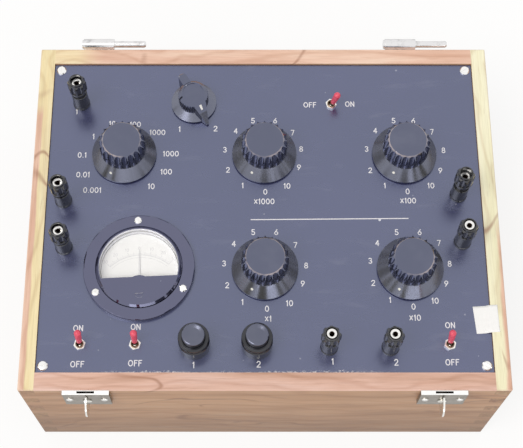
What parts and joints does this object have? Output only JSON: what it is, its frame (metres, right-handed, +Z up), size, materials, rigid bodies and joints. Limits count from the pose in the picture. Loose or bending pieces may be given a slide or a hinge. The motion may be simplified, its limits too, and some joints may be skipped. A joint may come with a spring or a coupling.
{
  "type": "wheatstone bridge",
  "caption": "Portable resistance bridge in a wooden case: dial switches, centre-zero meter, press keys, toggles, plug-socket terminals, front catches and lift-off hinge pins.",
  "frame": {"origin": "centre of the case's underside", "axes": "+X to the right along the case's width, +Y to the back (hinge side), +Z up out of the panel"},
  "size_m": [0.38, 0.3257, 0.181],
  "materials": {
    "teak": "oiled, open grain",
    "side_wood": "oiled, paler grain",
    "panel_black": "polished black laminate",
    "knob_black": "moulded, polished",
    "nickel": "nickel plate",
    "zinc": "zinc plate",
    "brass": "bare",
    "red_sleeve": "moulded",
    "dial_white": "matt white",
    "meter_glass": "clear",
    "needle_black": "matt",
    "phenolic": "paper laminate",
    "wire_wrap": "silk-covered wire",
    "magnet_iron": "ground",
    "cell_jacket": "printed sleeve, left plain"
  },
  "bodies": {
    "case": {"base_board": "teak", "left_board": "side_wood", "right_board": "side_wood", "front_board": "teak", "back_board": "teak", "corner_blocks": "teak", "fitting_screws": "nickel", "panel": "panel_black", "panel_screws": "nickel", "hinge_leaves": "nickel", "hinge_pins": "nickel", "catch_plates": "nickel", "meter_case": "knob_black", "meter_cover": "knob_black", "meter_glass": "meter_glass", "meter_dial": "dial_white", "meter_magnet": "magnet_iron", "meter_screws": "nickel", "switch_frames": "zinc", "switch_decks": "phenolic", "resistor_bobbins": "wire_wrap", "key_collars": "knob_black", "key_contacts": "brass", "key_spring_left": "zinc", "key_spring_right": "zinc", "toggle_bodies": "phenolic", "toggle_nuts": "nickel", "terminal_bases": "knob_black", "terminal_posts": "nickel", "battery_tray": "zinc", "battery_cells": "cell_jacket"},
    "ratio_dial": {"ratio_knob": "knob_black", "ratio_rotor": "brass"},
    "x1000_dial": {"x1000_knob": "knob_black", "x1000_rotor": "brass"},
    "x100_dial": {"x100_knob": "knob_black", "x100_rotor": "brass"},
    "x10_dial": {"x10_knob": "knob_black", "x10_rotor": "brass"},
    "x1_dial": {"x1_knob": "knob_black", "x1_rotor": "brass"},
    "function_dial": {"function_knob": "knob_black", "function_rotor": "brass"},
    "key_left": {"key_button_left": "knob_black"},
    "key_right": {"key_button_right": "knob_black"},
    "toggle_left": {"toggle_lever_left": "red_sleeve"},
    "toggle_middle": {"toggle_lever_middle": "red_sleeve"},
    "toggle_right": {"toggle_lever_right": "red_sleeve"},
    "toggle_back": {"toggle_lever_back": "red_sleeve"},
    "cap_a": {"terminal_cap_a": "knob_black"},
    "cap_b": {"terminal_cap_b": "knob_black"},
    "cap_c": {"terminal_cap_c": "knob_black"},
    "cap_d": {"terminal_cap_d": "knob_black"},
    "cap_e": {"terminal_cap_e": "knob_black"},
    "cap_f": {"terminal_cap_f": "knob_black"},
    "cap_g": {"terminal_cap_g": "knob_black"},
    "catch_left": {"catch_turn_left": "nickel"},
    "catch_right": {"catch_turn_right": "nickel"},
    "pointer": {"meter_needle": "needle_black"},
    "zero_adjuster": {"meter_zero_screw": "knob_black"}
  },
  "joints": [
    {"name": "ratio_turn", "type": "hinge", "parent": "case", "child": "ratio_dial", "pos_m": [-0.1153, 0.0507, 0.138], "axis": [0, 0, -1], "range_deg": [0, 270]},
    {"name": "x1000_turn", "type": "hinge", "parent": "case", "child": "x1000_dial", "pos_m": [0.0005, 0.0507, 0.138], "axis": [0, 0, -1], "range_deg": [-32.73, 294.55]},
    {"name": "x100_turn", "type": "hinge", "parent": "case", "child": "x100_dial", "pos_m": [0.1163, 0.0507, 0.138], "axis": [0, 0, -1], "range_deg": [-32.73, 294.55]},
    {"name": "x10_turn", "type": "hinge", "parent": "case", "child": "x10_dial", "pos_m": [0.1163, -0.0501, 0.138], "axis": [0, 0, -1], "range_deg": [-32.73, 294.55]},
    {"name": "x1_turn", "type": "hinge", "parent": "case", "child": "x1_dial", "pos_m": [0.0005, -0.0501, 0.138], "axis": [0, 0, -1], "range_deg": [-32.73, 294.55]},
    {"name": "function_turn", "type": "hinge", "parent": "case", "child": "function_dial", "pos_m": [-0.0585, 0.0986, 0.138], "axis": [0, 0, -1], "range_deg": [0, 60]},
    {"name": "key_press_left", "type": "slide", "parent": "case", "child": "key_left", "axis": [0, 0, -1], "range_m": [0, 0.003], "stiffness_N_per_m": 250, "springref_m": -0.004, "deforming": ["key_spring_left"]},
    {"name": "key_press_right", "type": "slide", "parent": "case", "child": "key_right", "axis": [0, 0, -1], "range_m": [0, 0.003], "stiffness_N_per_m": 250, "springref_m": -0.004, "deforming": ["key_spring_right"]},
    {"name": "toggle_flip_left", "type": "hinge", "parent": "case", "child": "toggle_left", "pos_m": [-0.144, -0.113, 0.136], "axis": [1, 0, 0], "range_deg": [0, 26]},
    {"name": "toggle_flip_middle", "type": "hinge", "parent": "case", "child": "toggle_middle", "pos_m": [-0.101, -0.113, 0.136], "axis": [1, 0, 0], "range_deg": [0, 26]},
    {"name": "toggle_flip_right", "type": "hinge", "parent": "case", "child": "toggle_right", "pos_m": [0.1443, -0.113, 0.136], "axis": [1, 0, 0], "range_deg": [0, 26]},
    {"name": "toggle_flip_back", "type": "hinge", "parent": "case", "child": "toggle_back", "pos_m": [0.057, 0.0974, 0.136], "axis": [0, -1, 0], "range_deg": [0, 26]},
    {"name": "cap_screw_a", "type": "slide", "parent": "case", "child": "cap_a", "axis": [0, 0, 1], "range_m": [-0.0039, 0.0026]},
    {"name": "cap_screw_b", "type": "slide", "parent": "case", "child": "cap_b", "axis": [0, 0, 1], "range_m": [-0.00325, 0.00325]},
    {"name": "cap_screw_c", "type": "slide", "parent": "case", "child": "cap_c", "axis": [0, 0, 1], "range_m": [-0.00293, 0.00358]},
    {"name": "cap_screw_d", "type": "slide", "parent": "case", "child": "cap_d", "axis": [0, 0, 1], "range_m": [-0.0065, 0]},
    {"name": "cap_screw_e", "type": "slide", "parent": "case", "child": "cap_e", "axis": [0, 0, 1], "range_m": [0, 0.0065]},
    {"name": "cap_screw_f", "type": "slide", "parent": "case", "child": "cap_f", "axis": [0, 0, 1], "range_m": [0, 0.0065]},
    {"name": "cap_screw_g", "type": "slide", "parent": "case", "child": "cap_g", "axis": [0, 0, 1], "range_m": [0, 0.0065]},
    {"name": "catch_turning_left", "type": "hinge", "parent": "case", "child": "catch_left", "pos_m": [-0.1376, -0.15, 0.124], "axis": [0, -1, 0], "range_deg": [0, 90]},
    {"name": "catch_turning_right", "type": "hinge", "parent": "case", "child": "catch_right", "pos_m": [0.1376, -0.15, 0.124], "axis": [0, -1, 0], "range_deg": [0, 90]},
    {"name": "pointer_swing", "type": "hinge", "parent": "case", "child": "pointer", "pos_m": [-0.09864, -0.07228, 0.138], "axis": [0, 0, -1], "range_deg": [-42, 42], "stiffness_Nm_per_rad": 0.0001},
    {"name": "zero_adjust", "type": "hinge", "parent": "case", "child": "zero_adjuster", "pos_m": [-0.09859, -0.07327, 0.138], "axis": [0, 0, -1], "range_deg": [-25, 25]}
  ]
}
